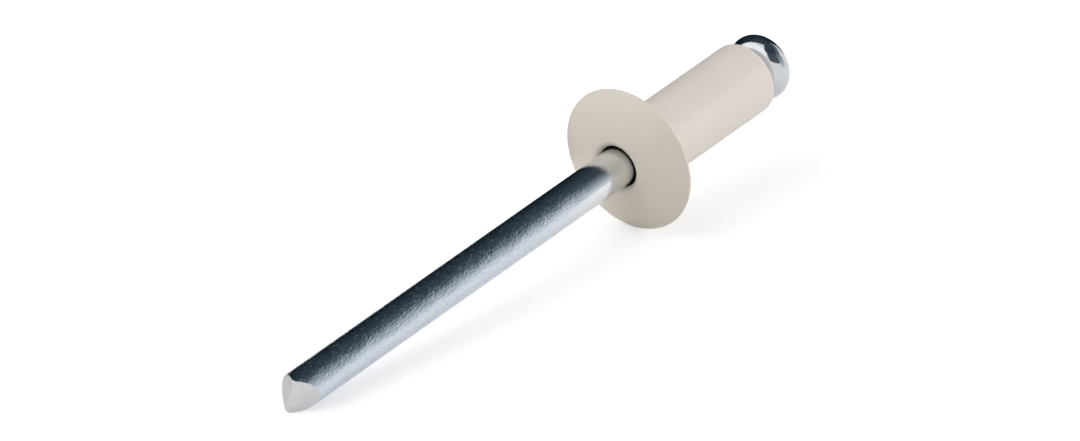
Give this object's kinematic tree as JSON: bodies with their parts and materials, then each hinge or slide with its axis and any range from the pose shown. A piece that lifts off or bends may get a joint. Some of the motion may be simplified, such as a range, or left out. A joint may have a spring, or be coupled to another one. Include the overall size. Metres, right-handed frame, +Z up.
{
  "type": "blind rivet",
  "caption": "Blind rivet at rest on its side: beige painted sleeve with a domed flange, on a bright plated pull mandrel with a round head and a pinch-cut point.",
  "frame": {"origin": "on the surface that the rivet lies on, under the middle of its box", "axes": "+X along the rivet from the mandrel's point toward its head, level, so the rivet's own axis rises 5.96 degrees toward the head; +Z up"},
  "size_m": [0.0408, 0.008, 0.008],
  "materials": {
    "sleeve_paint": "satin beige paint on aluminium",
    "mandrel_zinc": "bright zinc plate on drawn steel wire"
  },
  "bodies": {
    "root": {"rivet_body": "sleeve_paint", "mandrel": "mandrel_zinc"}
  },
  "joints": []
}
